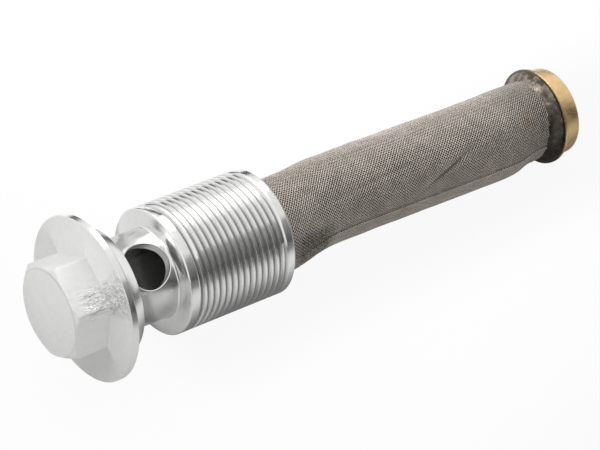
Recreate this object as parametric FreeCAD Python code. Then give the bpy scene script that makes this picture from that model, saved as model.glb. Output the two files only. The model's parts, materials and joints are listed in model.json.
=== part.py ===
import FreeCAD, Part
import math
import os

# Oil tank filter: a hollow hex-head bolt with a cross hole in its neck, a rolled wire-gauze tube that is
# soldered into the bolt's threaded end, and a brass cap soldered on the tube's far end.
# Millimetres. It is built along +X from head to cap, with X = 0 on the bolt's seat face, and then laid
# down as it rests: on the rim of the flange and the lip of the cap.
# Angles round the axis are degrees from +Z (up) towards -Y.

# Bolt: hex head
HEAD_ACROSS_FLATS = 18.8
HEAD_HEIGHT = 8.0
HEAD_FACE_DIAMETER = 18.2
HEAD_CHAMFER_ANGLE = 30.0
HEAD_CORNER_ANGLE = 5.0
HEAD_EDGE_ROUND = 0.3

# Bolt: flange and the seat collar behind it
FLANGE_DIAMETER = 35.0
FLANGE_THICKNESS = 1.7
FLANGE_EDGE_BREAK = 0.25
COLLAR_DIAMETER = 26.4
COLLAR_LENGTH = 4.3
COLLAR_FILLET = 0.9
COLLAR_EDGE_BREAK = 0.3

# Bolt: neck with its cross hole
NECK_DIAMETER = 19.0
NECK_LENGTH = 11.0
NECK_FILLET = 0.5
CROSS_HOLE_DIAMETER = 9.8
CROSS_HOLE_ANGLE = 38.0

# Bolt: body for the M27 x 1.5 thread, plain at its full diameter
THREAD_DIAMETER = 27.0
THREAD_LENGTH = 26.9
LEAD_CHAMFER = 0.35
END_CHAMFER = 1.1

# Bolt: drilled inside, open at the threaded end
BORE_DIAMETER = 14.5
BORE_DEPTH_BEHIND_SEAT = 2.0
DRILL_POINT_ANGLE = 118.0
SOCKET_DIAMETER = 21.2
SOCKET_DEPTH = 8.0

# Gauze tube: one rolled sheet, its outer diameters and where they change
GAUZE_THICKNESS = 0.7
TUBE_DIAMETER = 18.3
ROOT_DIAMETER = 19.8
TIP_DIAMETER = 17.4
TUBE_LENGTH = 79.3
ROOT_NECKING_START = 3.0
ROOT_NECKING_LENGTH = 10.0
TIP_NECKING_LENGTH = 7.0
TIP_STRAIGHT_LENGTH = 2.3

# Gauze tube: the hand-made tube leaves the bolt low, kinks up and runs a little askew to the cap. It also
# leans square to that bend, which balances its heavier seam, so the part lies still.
BEND_ANGLE = -41.5
ROOT_SET = -0.35
KINK_RISE = 1.54
KINK_LENGTH = 17.0
RUN_DROP = 0.54
CAP_RISE = 0.5
CAP_RISE_LENGTH = 8.0
LEAN_ANGLE = BEND_ANGLE + 90.0
LEAN = 1.1
END_SKEW = 1.2
END_SKEW_ANGLE = -10.0

# Gauze tube: folded lengthwise seam and one crease across the wall
SEAM_START_ANGLE = 100.0
SEAM_WIDTH_ANGLE = 42.0
SEAM_RAISE = 0.55
SEAM_RAMP_START = 6.0
SEAM_RAMP_LENGTH = 6.0
CREASE_DEPTH = 0.3
CREASE_WIDTH = 1.2
CREASE_START = 33.0
CREASE_START_ANGLE = 98.0
CREASE_END = 54.0
CREASE_END_ANGLE = 44.0

# Gauze tube: weave on the bias, as crossing ridges with pits between them and small gaps through the wall
WEAVE_COLUMNS = 36
WEAVE_SEAM_COLUMNS = 4
WEAVE_RIDGE = 0.3
WEAVE_ROWS_PER_PANEL = 8
WEAVE_PANELS = 6
WEAVE_IN_SOCKET = 1.5
WEAVE_GAP_SHARE = 0.42
WEAVE_GAP_SPACING = 4

# Brass cap
CAP_LIP_DIAMETER = 21.2
CAP_LIP_THICKNESS = 0.9
CAP_BAND_DIAMETER = 19.1
CAP_BAND_LENGTH = 4.0
CAP_SPIGOT_LENGTH = 5.6
CAP_WALL = 1.2
CAP_END_THICKNESS = 1.5
CAP_EDGE_BREAK = 0.4
CAP_LIP_EDGE_BREAK = 0.15
CAP_GAP_TO_GAUZE = 2.8

# Solder at both joints
SOLDER_RECESS = 0.8
SOLDER_TOP_DIAMETER = 20.4
SOLDER_LAYER = 0.5

# Clearances
SPIGOT_CLEARANCE = 0.18
SOLDER_CLEARANCE = 0.02
POINT_TOLERANCE = 0.00001

# Places along the axis that follow from the sizes above
FLANGE_BACK_X = -COLLAR_LENGTH
FLANGE_FRONT_X = FLANGE_BACK_X - FLANGE_THICKNESS
HEAD_FRONT_X = FLANGE_FRONT_X - HEAD_HEIGHT
THREAD_START_X = NECK_LENGTH
BOLT_END_X = THREAD_START_X + THREAD_LENGTH
SOCKET_FLOOR_X = BOLT_END_X - SOCKET_DEPTH
TUBE_END_X = SOCKET_FLOOR_X + TUBE_LENGTH
TIP_STRAIGHT_X = TUBE_END_X - TIP_STRAIGHT_LENGTH
KINK_END_X = BOLT_END_X + KINK_LENGTH
CAP_LIP_X = TUBE_END_X + CAP_GAP_TO_GAUZE
CAP_END_X = CAP_LIP_X + CAP_LIP_THICKNESS + CAP_BAND_LENGTH
SEAM_END_ANGLE = SEAM_START_ANGLE + SEAM_WIDTH_ANGLE
TIP_RADIUS = TIP_DIAMETER / 2
SPIGOT_RADIUS = TIP_RADIUS - GAUZE_THICKNESS - SPIGOT_CLEARANCE

AXIS = FreeCAD.Vector(1, 0, 0)
OVERSIZE = 30.0
COVE_STEPS = 3


def radial(angle):
    """Unit vector square to the axis at an angle round it."""
    turn = math.radians(angle)
    return FreeCAD.Vector(0, -math.sin(turn), math.cos(turn))


def smooth(value, start, length):
    """Rise from 0 to 1 over a length, level at both ends."""
    share = min(max((value - start) / length, 0.0), 1.0)
    return share * share * (3.0 - 2.0 * share)


def turned(profile):
    """Solid of revolution about the X axis from (x, radius) points."""
    points = [FreeCAD.Vector(x, 0, radius) for x, radius in profile]
    outline = Part.makePolygon(points + points[:1])
    return Part.Face(outline).revolve(FreeCAD.Vector(0, 0, 0), AXIS, 360)


def cove(wall_x, away, shaft_radius, height, length):
    """Points of a concave quarter round from a shaft up onto a wall; away is -1 or 1, from wall to shaft."""
    points = []
    for step in range(COVE_STEPS + 1):
        turn = math.radians(90.0 * step / COVE_STEPS)
        x = wall_x + away * length * (1 - math.sin(turn))
        points.append((x, shaft_radius + height * (1 - math.cos(turn))))
    return points


def head():
    """Hex head with its corners turned off at the outer face."""
    corner_radius = HEAD_ACROSS_FLATS / 2 / math.cos(math.radians(30))
    corners = []
    for corner in range(6):
        arm = radial(HEAD_CORNER_ANGLE + 60 * corner) * corner_radius
        corners.append(arm + FreeCAD.Vector(HEAD_FRONT_X, 0, 0))
    hexagon = Part.Face(Part.makePolygon(corners + corners[:1]))
    prism = hexagon.extrude(AXIS * (HEAD_HEIGHT + FLANGE_THICKNESS / 2))
    long_edges = [edge for edge in prism.Edges if edge.BoundBox.XLength > HEAD_HEIGHT]
    prism = prism.makeFillet(HEAD_EDGE_ROUND, long_edges)
    face_radius = HEAD_FACE_DIAMETER / 2
    cone_depth = (OVERSIZE - face_radius) * math.tan(math.radians(HEAD_CHAMFER_ANGLE))
    envelope = turned([
        (HEAD_FRONT_X, 0),
        (HEAD_FRONT_X, face_radius),
        (HEAD_FRONT_X + cone_depth, OVERSIZE),
        (HEAD_FRONT_X + cone_depth, 0),
    ])
    return prism.common(envelope)


def shank():
    """Flange, seat collar, neck and the body for the thread, as turned in one piece."""
    flange = FLANGE_DIAMETER / 2
    collar = COLLAR_DIAMETER / 2
    neck = NECK_DIAMETER / 2
    body = THREAD_DIAMETER / 2
    profile = [
        (FLANGE_FRONT_X, 0),
        (FLANGE_FRONT_X, flange - FLANGE_EDGE_BREAK),
        (FLANGE_FRONT_X + FLANGE_EDGE_BREAK, flange),
        (FLANGE_BACK_X - FLANGE_EDGE_BREAK, flange),
        (FLANGE_BACK_X, flange - FLANGE_EDGE_BREAK),
    ]
    profile += reversed(cove(FLANGE_BACK_X, 1, collar, COLLAR_FILLET, COLLAR_FILLET))
    profile += [(-COLLAR_EDGE_BREAK, collar), (0, collar - COLLAR_EDGE_BREAK), (0, neck)]
    profile += cove(THREAD_START_X, -1, neck, NECK_FILLET, NECK_FILLET)
    profile += [
        (THREAD_START_X, body - LEAD_CHAMFER),
        (THREAD_START_X + LEAD_CHAMFER, body),
        (BOLT_END_X - END_CHAMFER, body),
        (BOLT_END_X, body - END_CHAMFER),
        (BOLT_END_X, 0),
    ]
    return turned(profile)


def drilled_inside():
    """The blind bore with its drill point, and the wider socket for the gauze."""
    bore = BORE_DIAMETER / 2
    socket = SOCKET_DIAMETER / 2
    bore_end = -BORE_DEPTH_BEHIND_SEAT
    point_depth = bore / math.tan(math.radians(DRILL_POINT_ANGLE / 2))
    return turned([
        (bore_end - point_depth, 0),
        (bore_end, bore),
        (SOCKET_FLOOR_X, bore),
        (SOCKET_FLOOR_X, socket),
        (BOLT_END_X + OVERSIZE, socket),
        (BOLT_END_X + OVERSIZE, 0),
    ])


def cross_hole():
    """Hole right through the neck, midway between the seat and the thread."""
    direction = radial(CROSS_HOLE_ANGLE)
    start = FreeCAD.Vector(NECK_LENGTH / 2, 0, 0) - direction * OVERSIZE
    return Part.makeCylinder(CROSS_HOLE_DIAMETER / 2, 2 * OVERSIZE, start, direction)


def bolt():
    """The hollow bolt."""
    body = shank().fuse(head())
    return body.cut(drilled_inside()).cut(cross_hole()).removeSplitter()


def bend(x):
    """How far the tube's middle lies off the bolt's axis, along BEND_ANGLE."""
    offset = ROOT_SET + KINK_RISE * smooth(x, BOLT_END_X, KINK_LENGTH)
    run_length = TIP_STRAIGHT_X - CAP_RISE_LENGTH - KINK_END_X
    offset -= RUN_DROP * smooth(x, KINK_END_X, run_length)
    return offset + CAP_RISE * smooth(x, TIP_STRAIGHT_X - CAP_RISE_LENGTH, CAP_RISE_LENGTH)


def bend_vector(x):
    """The tube's middle as an offset from the bolt's axis."""
    lean = LEAN * smooth(x, KINK_END_X, TIP_STRAIGHT_X - KINK_END_X)
    return radial(BEND_ANGLE) * bend(x) + radial(LEAN_ANGLE) * lean


def tube_radius(x):
    """Outer radius over the weave's ridges."""
    necked = (ROOT_DIAMETER - TUBE_DIAMETER) / 2
    gathered = (TUBE_DIAMETER - TIP_DIAMETER) / 2
    radius = ROOT_DIAMETER / 2
    radius -= necked * smooth(x, BOLT_END_X + ROOT_NECKING_START, ROOT_NECKING_LENGTH)
    return radius - gathered * smooth(x, TIP_STRAIGHT_X - TIP_NECKING_LENGTH, TIP_NECKING_LENGTH)


def seam_raise(x):
    """Height of the folded seam above the tube, run out flat at both ends."""
    rise = smooth(x, BOLT_END_X + SEAM_RAMP_START, SEAM_RAMP_LENGTH)
    fall = smooth(x, TIP_STRAIGHT_X - SEAM_RAMP_LENGTH, SEAM_RAMP_LENGTH)
    return SEAM_RAISE * (rise - fall)


def crease(x, angle):
    """Depth of the crease that runs from the seam up across the wall."""
    share = (x - BOLT_END_X - CREASE_START) / (CREASE_END - CREASE_START)
    if share < 0 or share > 1:
        return 0.0
    line_angle = CREASE_START_ANGLE + share * (CREASE_END_ANGLE - CREASE_START_ANGLE)
    aside = math.radians(angle - line_angle) * TUBE_DIAMETER / 2
    return CREASE_DEPTH * math.sin(math.pi * share) * math.exp(-((aside / CREASE_WIDTH) ** 2))


def wall_point(x, angle, depth, raised=0.0):
    """Point of the gauze wall at a depth under its ridges."""
    distance = tube_radius(x) - depth + raised * seam_raise(x)
    if depth < GAUZE_THICKNESS:
        distance -= crease(x, angle)
    place = x
    if x >= TUBE_END_X:
        lean = math.cos(math.radians(angle - END_SKEW_ANGLE))
        place = TUBE_END_X + END_SKEW * distance / TIP_RADIUS * lean
    return FreeCAD.Vector(place, 0, 0) + bend_vector(x) + radial(angle) * distance


def weave_angle(column):
    """Angle of a column of the weave: the plain wall first, then the seam."""
    if column <= WEAVE_COLUMNS:
        return SEAM_END_ANGLE + (360 - SEAM_WIDTH_ANGLE) * column / WEAVE_COLUMNS
    return SEAM_START_ANGLE + 360 + SEAM_WIDTH_ANGLE * (column - WEAVE_COLUMNS) / WEAVE_SEAM_COLUMNS


class GauzeWall:
    """Facets of the woven wall, gathered as shared points and triangles."""

    def __init__(self):
        self.points = []
        self.numbers = {}
        self.facets = []
        self.columns = WEAVE_COLUMNS + WEAVE_SEAM_COLUMNS
        woven_rows = WEAVE_ROWS_PER_PANEL * WEAVE_PANELS
        step = (TUBE_END_X - BOLT_END_X + WEAVE_IN_SOCKET) / woven_rows
        woven_start = TUBE_END_X - step * woven_rows
        self.rows = [SOCKET_FLOOR_X] + [woven_start + step * row for row in range(woven_rows)] + [TUBE_END_X]
        self.panel_rows = [0] + [1 + WEAVE_ROWS_PER_PANEL * panel for panel in range(WEAVE_PANELS + 1)]

    def number(self, point):
        """Index of a point, the same for points that coincide."""
        key = (round(point.x, 5), round(point.y, 5), round(point.z, 5))
        if key not in self.numbers:
            self.numbers[key] = len(self.points)
            self.points.append(point)
        return self.numbers[key]

    def triangle(self, first, second, third):
        """Keep a triangle unless two of its corners coincide."""
        corners = [self.number(point) for point in (first, second, third)]
        if len(set(corners)) == 3:
            self.facets.append(tuple(corners))

    def quad(self, first, second, third, fourth):
        """Two triangles over four corners in order."""
        self.triangle(first, second, third)
        self.triangle(first, third, fourth)

    def outer(self, row, column, raised):
        """Ridge crossing or pit of the outer face."""
        plain = row == 0 or row == len(self.rows) - 1
        pit = (row + column) % 2 == 0 and not plain
        return wall_point(self.rows[row], weave_angle(column), WEAVE_RIDGE if pit else 0.0, raised)

    def inner(self, row, column):
        """Point of the plain inner face."""
        return wall_point(self.rows[row], weave_angle(column), GAUZE_THICKNESS)

    def is_gap(self, row, column):
        """Gaps sit in the middle of every second pair of columns, staggered from panel to panel."""
        panel, place = divmod(row - 1, WEAVE_ROWS_PER_PANEL)
        if place != WEAVE_ROWS_PER_PANEL // 2 or panel >= WEAVE_PANELS or column >= WEAVE_COLUMNS:
            return False
        return column % WEAVE_GAP_SPACING == (1 if panel % 2 == 0 else 3)

    def weave_corner(self, pit, pit_place, before, after):
        """Triangle from a pit to two ridge crossings, cut short where the pit is a gap."""
        if not self.is_gap(*pit_place):
            self.triangle(pit, before, after)
            return
        near_before = pit + (before - pit) * WEAVE_GAP_SHARE
        near_after = pit + (after - pit) * WEAVE_GAP_SHARE
        self.quad(near_before, before, after, near_after)

    def weave(self):
        """Outer face, as squares split along their ridge."""
        for row in range(len(self.rows) - 1):
            for column in range(self.columns):
                raised = 1.0 if column >= WEAVE_COLUMNS else 0.0
                low = self.outer(row, column, raised)
                low_next = self.outer(row, column + 1, raised)
                high = self.outer(row + 1, column, raised)
                high_next = self.outer(row + 1, column + 1, raised)
                if (row + column) % 2 == 1:
                    self.weave_corner(low_next, (row, column + 1), high_next, low)
                    self.weave_corner(high, (row + 1, column), low, high_next)
                else:
                    self.weave_corner(low, (row, column), low_next, high)
                    self.weave_corner(high_next, (row + 1, column + 1), high, low_next)

    def seam_edges(self):
        """Both long edges of the folded seam."""
        seam_end = self.columns
        for row in range(len(self.rows) - 1):
            for near, far in (((WEAVE_COLUMNS, 0.0), (WEAVE_COLUMNS, 1.0)), ((seam_end, 1.0), (0, 0.0))):
                self.quad(
                    self.outer(row, *near),
                    self.outer(row, *far),
                    self.outer(row + 1, *far),
                    self.outer(row + 1, *near),
                )

    def lining(self):
        """Inner face in coarse panels, with the gaps let through."""
        for low, high in zip(self.panel_rows[:-1], self.panel_rows[1:]):
            middle = (low + high) // 2
            for column in range(0, self.columns, 2):
                corners = [
                    self.inner(low, column),
                    self.inner(low, column + 2),
                    self.inner(high, column + 2),
                    self.inner(high, column),
                ]
                if low > 0 and self.is_gap(middle, column + 1):
                    self.gap(middle, column + 1, corners)
                else:
                    self.quad(*reversed(corners))

    def gap(self, row, column, corners):
        """One small hole, with its walls, in the middle of a lining panel."""
        pit = self.outer(row, column, 0.0)
        crossings = [
            self.outer(row - 1, column, 0.0),
            self.outer(row, column + 1, 0.0),
            self.outer(row + 1, column, 0.0),
            self.outer(row, column - 1, 0.0),
        ]
        rim = [pit + (crossing - pit) * WEAVE_GAP_SHARE for crossing in crossings]
        middle = (corners[0] + corners[1] + corners[2] + corners[3]) * 0.25
        rim_middle = (rim[0] + rim[1] + rim[2] + rim[3]) * 0.25
        foot = [point - rim_middle + middle for point in rim]
        for side in range(4):
            after = (side + 1) % 4
            self.quad(rim[side], rim[after], foot[after], foot[side])
            self.triangle(corners[after], corners[side], foot[side])
            self.triangle(corners[after], foot[side], foot[after])

    def ends(self):
        """The cut ends of the sheet, at the bolt and at the cap."""
        for row, at_bolt in ((0, True), (len(self.rows) - 1, False)):
            for column in range(0, self.columns, 2):
                raised = 1.0 if column >= WEAVE_COLUMNS else 0.0
                edge = [self.outer(row, column + step, raised) for step in range(3)]
                foot = [self.inner(row, column), self.inner(row, column + 2)]
                fan = [(edge[0], edge[1], foot[0]), (edge[1], foot[1], foot[0]), (edge[1], edge[2], foot[1])]
                for first, second, third in fan:
                    if at_bolt:
                        self.triangle(second, first, third)
                    else:
                        self.triangle(first, second, third)

    def solid(self):
        """The closed wall."""
        self.weave()
        self.seam_edges()
        self.lining()
        self.ends()
        facets = Part.Shape()
        facets.makeShapeFromMesh((self.points, self.facets), POINT_TOLERANCE, False)
        wall = Part.Solid(Part.Shell(facets.Faces))
        return wall if wall.Volume > 0 else wall.reversed()


def cap():
    """Brass cup with a spigot for the gauze, a lip and a band, closed at its end."""
    lip = CAP_LIP_DIAMETER / 2
    band = CAP_BAND_DIAMETER / 2
    hollow = SPIGOT_RADIUS - CAP_WALL
    lip_back_x = CAP_LIP_X + CAP_LIP_THICKNESS
    spigot_x = CAP_LIP_X - CAP_SPIGOT_LENGTH
    cup = turned([
        (spigot_x, hollow),
        (spigot_x, SPIGOT_RADIUS),
        (CAP_LIP_X, SPIGOT_RADIUS),
        (CAP_LIP_X, lip - CAP_LIP_EDGE_BREAK),
        (CAP_LIP_X + CAP_LIP_EDGE_BREAK, lip),
        (lip_back_x - CAP_LIP_EDGE_BREAK, lip),
        (lip_back_x, lip - CAP_LIP_EDGE_BREAK),
        (lip_back_x, band),
        (CAP_END_X - CAP_EDGE_BREAK, band),
        (CAP_END_X, band - CAP_EDGE_BREAK),
        (CAP_END_X, 0),
        (CAP_END_X - CAP_END_THICKNESS, 0),
        (CAP_END_X - CAP_END_THICKNESS, hollow),
    ])
    return cup.translated(bend_vector(TUBE_END_X))


def cap_solder():
    """Solder fillet between the gauze's slanting end and the cap's lip."""
    start_x = TUBE_END_X - END_SKEW
    start_radius = SPIGOT_RADIUS + SOLDER_LAYER
    rise = SOLDER_TOP_DIAMETER / 2 - start_radius
    profile = [(start_x, SPIGOT_RADIUS)]
    profile += cove(CAP_LIP_X, -1, start_radius, rise, CAP_LIP_X - start_x)
    profile += [(CAP_LIP_X, SPIGOT_RADIUS)]
    gauze_side = radial(END_SKEW_ANGLE) * (END_SKEW / TIP_RADIUS) - AXIS
    gauze_end = FreeCAD.Vector(TUBE_END_X + SOLDER_CLEARANCE, 0, 0)
    ring = turned(profile).cut(Part.makeCylinder(OVERSIZE, OVERSIZE, gauze_end, gauze_side))
    return ring.translated(bend_vector(TUBE_END_X))


def socket_solder():
    """Ring of solder between the gauze and the socket in the bolt."""
    length = SOCKET_DEPTH - SOLDER_RECESS
    base = FreeCAD.Vector(SOCKET_FLOOR_X, 0, 0)
    ring = Part.makeCylinder(SOCKET_DIAMETER / 2, length, base, AXIS)
    inside = ROOT_DIAMETER / 2 + SOLDER_CLEARANCE
    return ring.cut(Part.makeCylinder(inside, length, base + bend_vector(SOCKET_FLOOR_X), AXIS))


def rest_tilt():
    """Slope of the axis, in degrees, when the flange's rim and the cap's lip both touch the floor."""
    lip_drop = CAP_LIP_DIAMETER / 2 - bend_vector(TUBE_END_X).z
    lip_corner_x = CAP_LIP_X + CAP_LIP_THICKNESS - CAP_LIP_EDGE_BREAK
    span = lip_corner_x - (FLANGE_BACK_X - FLANGE_EDGE_BREAK)
    return math.degrees(math.atan2(FLANGE_DIAMETER / 2 - lip_drop, span))


def laid_down(shapes):
    """Turn the part to its rest and set the origin on the floor under the middle of its box."""
    turn = FreeCAD.Placement(FreeCAD.Vector(0, 0, 0), FreeCAD.Rotation(FreeCAD.Vector(0, 1, 0), rest_tilt()))
    turned_shapes = {name: shape.transformed(turn.toMatrix(), copy=True) for name, shape in shapes.items()}
    box = FreeCAD.BoundBox()
    for name in ("bolt", "cap"):
        box.add(turned_shapes[name].optimalBoundingBox())
    shift = FreeCAD.Vector(-box.Center.x, -box.Center.y, -box.ZMin)
    return {name: shape.translated(shift) for name, shape in turned_shapes.items()}


def main():
    """Write one file for each piece."""
    os.makedirs("parts", exist_ok=True)
    pieces = {
        "bolt": bolt(),
        "gauze_tube": GauzeWall().solid(),
        "cap": cap(),
        "cap_solder": cap_solder(),
        "socket_solder": socket_solder(),
    }
    for name, shape in laid_down(pieces).items():
        shape.exportStep(os.path.join("parts", name + ".step"))


main()
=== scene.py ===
import json
import math

import bmesh
import bpy
from mathutils import Euler, Matrix, Vector
from mathutils.noise import noise as noise_at


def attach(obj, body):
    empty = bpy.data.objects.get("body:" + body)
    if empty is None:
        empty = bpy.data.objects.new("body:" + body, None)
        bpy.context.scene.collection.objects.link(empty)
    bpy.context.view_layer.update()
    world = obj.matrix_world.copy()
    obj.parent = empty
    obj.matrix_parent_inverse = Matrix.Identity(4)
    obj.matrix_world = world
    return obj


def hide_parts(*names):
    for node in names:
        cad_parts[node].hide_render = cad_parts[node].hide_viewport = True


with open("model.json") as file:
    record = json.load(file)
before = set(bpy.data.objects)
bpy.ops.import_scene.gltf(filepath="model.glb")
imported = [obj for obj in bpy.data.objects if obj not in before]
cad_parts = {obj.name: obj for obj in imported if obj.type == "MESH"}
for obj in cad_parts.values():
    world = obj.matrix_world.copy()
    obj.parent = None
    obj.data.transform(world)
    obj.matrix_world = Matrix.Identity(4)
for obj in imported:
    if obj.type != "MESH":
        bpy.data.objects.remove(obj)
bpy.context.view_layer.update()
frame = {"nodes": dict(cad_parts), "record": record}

bl_info = {
    "name": "Oil tank filter",
    "version": (1, 0, 0),
    "blender": (4, 5, 0),
    "location": "View3D > Sidebar > Oil filter",
    "description": "Cuts the thread, weaves the gauze, solders the joints and gives the oil tank filter "
    "its finishes",
    "category": "Object",
}

# Sizes in millimetres along the bolt's axis, with 0 on the seat face, and degrees round it from up
# towards -Y
MM = 0.001
HEAD_FRONT_X = -14.0
FLANGE_FRONT_X = -6.0
FLANGE_BACK_X = -4.3
FLANGE_RADIUS = 17.5
SEAT_POINT_RADIUS = 11.35
NECK_MIDDLE_X = 5.5
NECK_RADIUS = 9.5
HOLE_ANGLE = 38.0
HOLE_RADIUS = 4.9
THREAD_START_X = 11.0
BOLT_END_X = 37.9
TUBE_END_X = 109.2

# Brass cap, and the solder between the gauze and its lip
CAP_LIP_X = 112.0
CAP_END_X = 116.9
CAP_LIP_THICKNESS = 0.9
CAP_SPIGOT_LENGTH = 5.6
CAP_END_THICKNESS = 1.5
CAP_LIP_RADIUS = 10.6
CAP_BAND_RADIUS = 9.55
CAP_SPIGOT_RADIUS = 7.82
CAP_HOLLOW_RADIUS = 6.62
CAP_LIP_ROUNDINGS = (0.2, 0.25)
SOLDER_STEPS = 14
SOLDER_ON_GAUZE = 1.0
SOLDER_END_X = CAP_LIP_X - 0.02
SOLDER_INNER_RADIUS = 7.85
SOLDER_THIN_RADIUS = 8.32
SOLDER_CREST_RADIUS = 9.75
SOLDER_TOP_RISE = 0.45
SOLDER_LARGEST_RADIUS = 10.45
SOLDER_TOP_ANGLE = -15.0

# Marks: from, to and soft margin, in millimetres along the axis or degrees round it
BRUISE_ANGLES = (42.0, 73.0, 12.0)
FLUX_MARK = ((41.0, 50.0, 1.5), (78.0, 132.0, 8.0))
STAIN_MARK = ((102.6, 104.8, 1.2), (38.0, 50.0, 7.0))
HEATED_RUN = (96.0, 108.0)
INNER_WEAVE_PITCH = 0.72

# Camera in the part's own frame: place in millimetres, heading, slope down and roll in degrees
CAMERA_PLACE = (-316.2, -441.5, 394.1)
CAMERA_HEADING = 50.43
CAMERA_DOWN = 34.72
CAMERA_ROLL = 3.66
CAMERA_LENS = 201.79
CAMERA_SENSOR = 36.0

# Key light in metres, and the cards that only mirrors see: azimuth, elevation, distance, width, height,
# tone at the foot and tone at the top
KEY_PLACE = (0.15, 0.35, 0.9)
KEY_SIZE = (0.9, 0.7)
CARDS = {
    "card_near": (-70.0, 16.0, 1.0, 2.2, 0.95, 0.02, 0.33),
    "card_above": (-20.0, 56.0, 1.0, 1.1, 0.6, 0.82, 0.98),
    "card_behind": (58.0, 11.0, 1.2, 2.2, 0.42, 0.02, 0.2),
}

# Where the floor's painted shade for mirrors changes, in metres along the part or towards the camera
FLOOR_PAST_HEAD = (-0.08, 0.02)
FLOOR_BY_HEX = (-0.048, -0.034)
FLOOR_ASIDE = (0.01, 0.032)
FLOOR_FAR = (-0.08, 0.05)
FLOOR_NEAR = (0.035, 0.11)

# How the gauze tube's outer radius and its middle run along it
ROOT_RADIUS = 9.9
TUBE_RADIUS = 9.15
TIP_RADIUS = 8.7
ROOT_NECKING = (BOLT_END_X + 3.0, 10.0)
TIP_NECKING = (TUBE_END_X - 9.3, 7.0)
ROOT_SET = -0.35
BENDS = (
    (-41.5, 1.54, BOLT_END_X, 17.0),
    (-41.5, -0.54, BOLT_END_X + 17.0, 44.0),
    (-41.5, 0.5, TUBE_END_X - 10.3, 8.0),
    (48.5, 1.1, BOLT_END_X + 17.0, 52.0),
)
END_SKEW = 1.2
END_SKEW_ANGLE = -10.0
SEAM_START_ANGLE = 100.0
SEAM_END_ANGLE = 142.0
CREASE_START = (70.9, 98.0)
CREASE_END = (91.9, 44.0)
LONG_CREASE_START = (50.0, 56.5)
LONG_CREASE_END = (76.0, 45.0)
LONG_CREASE_WIDTH = 0.5
LAP_AT_ENDS = 0.3


def part_placement():
    """Matrix from the part's own frame, in millimetres, to the frame that it lies in."""
    mounts = {mount["name"]: mount for mount in frame["record"]["mounts"]}
    axis = Vector(mounts["thread"]["axis"])
    turn = Matrix.Rotation(math.atan2(-axis.z, axis.x), 4, "Y")
    seat_point = Vector(mounts["seat"]["pos_m"])
    seat_middle = seat_point - turn @ Vector((0, 0, SEAT_POINT_RADIUS * MM))
    return Matrix.Translation(seat_middle) @ turn @ Matrix.Scale(MM, 4)


def outward(angle):
    """Unit vector square to the axis at an angle round it."""
    return Vector((0.0, -math.sin(math.radians(angle)), math.cos(math.radians(angle))))


PLACEMENT = part_placement()
TILT = math.asin(-(PLACEMENT.to_3x3() @ Vector((1, 0, 0))).normalized().z)


class TreeMaker:
    """Adds nodes to one node tree and links them."""

    def __init__(self, tree):
        self.tree = tree

    def feed(self, socket, value):
        """Link a socket to an output, or set its value."""
        if isinstance(value, bpy.types.NodeSocket):
            self.tree.links.new(value, socket)
        else:
            socket.default_value = value

    def node(self, kind, inputs=None, **settings):
        """New node with its settings and its inputs by name or number."""
        node = self.tree.nodes.new(kind)
        for key, value in settings.items():
            setattr(node, key, value)
        for key, value in (inputs or {}).items():
            self.feed(node.inputs[key], value)
        return node

    def math(self, operation, *values):
        """One number worked out from others."""
        node = self.tree.nodes.new("ShaderNodeMath")
        node.operation = operation
        for socket, value in zip(node.inputs, values):
            self.feed(socket, value)
        return node.outputs[0]

    def less(self, value, taken):
        """First number without the second."""
        return self.math("SUBTRACT", value, taken)

    def total(self, *values):
        """Sum of several numbers."""
        result = values[0]
        for value in values[1:]:
            result = self.math("ADD", result, value)
        return result

    def product(self, *values):
        """Product of several numbers."""
        result = values[0]
        for value in values[1:]:
            result = self.math("MULTIPLY", result, value)
        return result

    def ramp(self, value, start, end, low=0.0, high=1.0, kind="SMOOTHSTEP"):
        """Rise from low to high while the value goes from start to end."""
        node = self.tree.nodes.new("ShaderNodeMapRange")
        node.interpolation_type = kind
        for socket, number in zip(node.inputs, (value, start, end, low, high)):
            self.feed(socket, number)
        return node.outputs[0]

    def join(self, x, y, z):
        """Vector from three numbers."""
        node = self.node("ShaderNodeCombineXYZ", {"X": x, "Y": y, "Z": z})
        return node.outputs[0]

    def split(self, vector):
        """Three numbers of a vector."""
        node = self.node("ShaderNodeSeparateXYZ", {0: vector})
        return node.outputs[0], node.outputs[1], node.outputs[2]


def new_material(name):
    """Empty metal material and the maker of its nodes."""
    material = bpy.data.materials.new(name)
    material.use_nodes = True
    maker = TreeMaker(material.node_tree)
    shader = material.node_tree.nodes["Principled BSDF"]
    shader.inputs["Metallic"].default_value = 1.0
    return material, maker, shader


def part_coordinates(maker):
    """Object coordinates turned back to the part's own frame, in millimetres."""
    back = PLACEMENT.inverted()
    mapping = maker.node(
        "ShaderNodeMapping",
        {
            "Vector": maker.node("ShaderNodeTexCoord").outputs["Object"],
            "Location": back.to_translation(),
            "Rotation": (0.0, -TILT, 0.0),
            "Scale": (1 / MM, 1 / MM, 1 / MM),
        },
    )
    return mapping.outputs[0]


def round_the_axis(maker, point):
    """Distance along the axis, distance from it and angle round it in degrees."""
    x, y, z = maker.split(point)
    radius = maker.math("SQRT", maker.total(maker.product(y, y), maker.product(z, z)))
    angle = maker.math("DEGREES", maker.math("ARCTAN2", maker.product(y, -1.0), z))
    return x, radius, angle


def stretched(maker, point, scale, turn=(0.0, 0.0, 0.0)):
    """Coordinates turned and scaled for a stretched pattern."""
    return maker.node("ShaderNodeMapping", {"Vector": point, "Rotation": turn, "Scale": scale}).outputs[0]


def noise(maker, vector, scale, detail=3.0, roughness=0.55):
    """Soft random field from 0 to 1."""
    node = maker.node(
        "ShaderNodeTexNoise",
        {"Vector": vector, "Scale": scale, "Detail": detail, "Roughness": roughness},
    )
    return node.outputs[0]


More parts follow.
